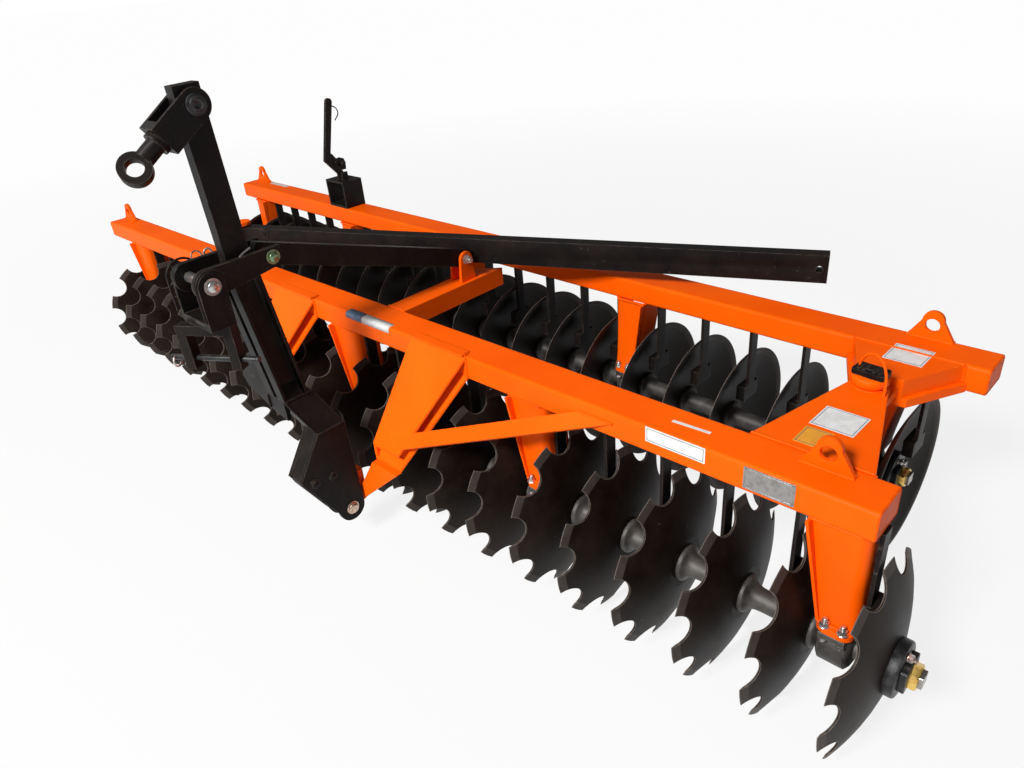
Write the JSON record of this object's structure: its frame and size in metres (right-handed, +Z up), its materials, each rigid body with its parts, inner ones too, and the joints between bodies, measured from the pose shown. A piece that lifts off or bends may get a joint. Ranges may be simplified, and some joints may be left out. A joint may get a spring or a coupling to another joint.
{
  "type": "disc harrow",
  "caption": "Offset disc harrow: notched front gang and plain rear gang on orange tube frames hinged at one end, with the black drawbar folded up and held by a stay bar.",
  "frame": {"origin": "on the ground, under the middle of the whole object's box", "axes": "+X along the gangs towards the hinged end, -Y the way the harrow travels, +Z up"},
  "size_m": [4.0775, 1.7129, 1.4789],
  "materials": {
    "orange_paint": "vivid orange enamel, semi-gloss",
    "black_paint": "black enamel, satin, scratched",
    "disc_steel": "dark rolled disc steel",
    "cast_iron": "bare grey casting",
    "machine_steel": "bare machined steel"
  },
  "bodies": {
    "front_frame": {"front_beam": "orange_paint", "front_lifting_eyes": "orange_paint", "front_bearings": "cast_iron", "front_shanks": "orange_paint", "front_scrapers": "black_paint", "front_hinge_arm": "orange_paint", "hinge_pin": "machine_steel", "hinge_cap": "black_paint", "hitch_struts": "orange_paint", "hitch_arms": "orange_paint", "strut_brace": "orange_paint", "cross_tube": "orange_paint", "stay_clevis": "orange_paint", "bar_bracket": "orange_paint"},
    "front_gang": {"front_discs": "disc_steel", "front_spools": "cast_iron", "front_axle": "machine_steel", "front_end_washers": "cast_iron"},
    "rear_frame": {"rear_beam": "orange_paint", "rear_lifting_eyes": "orange_paint", "rear_bearings": "cast_iron", "rear_shanks": "orange_paint", "rear_scrapers": "black_paint", "rear_hinge_arm": "orange_paint", "latch_bracket": "black_paint"},
    "rear_gang": {"rear_discs": "disc_steel", "rear_spools": "cast_iron", "rear_axle": "machine_steel", "rear_end_washers": "cast_iron"},
    "drawbar": {"yoke_head": "black_paint", "pivot_pin": "machine_steel", "drawbar_channels": "black_paint", "link_plates": "black_paint", "front_pin": "machine_steel", "stay_pins": "machine_steel", "mast": "black_paint", "clevis_pin": "machine_steel"},
    "clevis": {"clevis": "black_paint"},
    "tow_eye": {"tow_eye": "black_paint"},
    "stay_bar": {"stay_bar": "black_paint"},
    "long_bar": {"long_bar": "black_paint"},
    "latch_lever": {"latch_lever": "black_paint"},
    "hanging_fork": {"hanging_fork": "black_paint", "fork_pin": "machine_steel"}
  },
  "joints": [
    {"name": "front_gang_spin", "type": "hinge", "parent": "front_frame", "child": "front_gang", "pos_m": [0.0815, -0.167, 0.254], "axis": [1, 0, 0], "continuous": true},
    {"name": "rear_gang_spin", "type": "hinge", "parent": "rear_frame", "child": "rear_gang", "pos_m": [-0.08157, 0.57348, 0.254], "axis": [0.9997, -0.0227, 0], "continuous": true},
    {"name": "gang_opening", "type": "hinge", "parent": "front_frame", "child": "rear_frame", "pos_m": [1.699, 0.248, 0.6415], "axis": [0, 0, -1], "range_deg": [0, 40]},
    {"name": "drawbar_fold", "type": "hinge", "parent": "front_frame", "child": "drawbar", "pos_m": [0.264, -0.509, 0.139], "axis": [1, 0, 0], "range_deg": [0, 60]},
    {"name": "clevis_tilt", "type": "hinge", "parent": "drawbar", "child": "clevis", "pos_m": [0.264, -0.623, 1.42901], "axis": [-1, 0, 0], "range_deg": [0, 75]},
    {"name": "tow_eye_swivel", "type": "hinge", "parent": "clevis", "child": "tow_eye", "pos_m": [0.264, -0.623, 1.42901], "axis": [0, -0.8192, -0.5736], "continuous": true},
    {"name": "stay_bar_lift", "type": "hinge", "parent": "front_frame", "child": "stay_bar", "pos_m": [0.264, 0.207, 0.76], "axis": [-1, 0, 0], "range_deg": [0, 60]},
    {"name": "long_bar_swing", "type": "hinge", "parent": "front_frame", "child": "long_bar", "pos_m": [-0.721, -0.107, 0.7695], "axis": [0, 0, 1], "range_deg": [0, 55]},
    {"name": "latch_lever_turn", "type": "hinge", "parent": "rear_frame", "child": "latch_lever", "pos_m": [-1.01354, 0.60763, 0.826], "axis": [-0.9997, 0.0227, 0], "range_deg": [0, 60]},
    {"name": "fork_swing", "type": "hinge", "parent": "drawbar", "child": "hanging_fork", "pos_m": [0.264, -0.733, 0.994], "axis": [-1, 0, 0], "range_deg": [0, 40]}
  ]
}
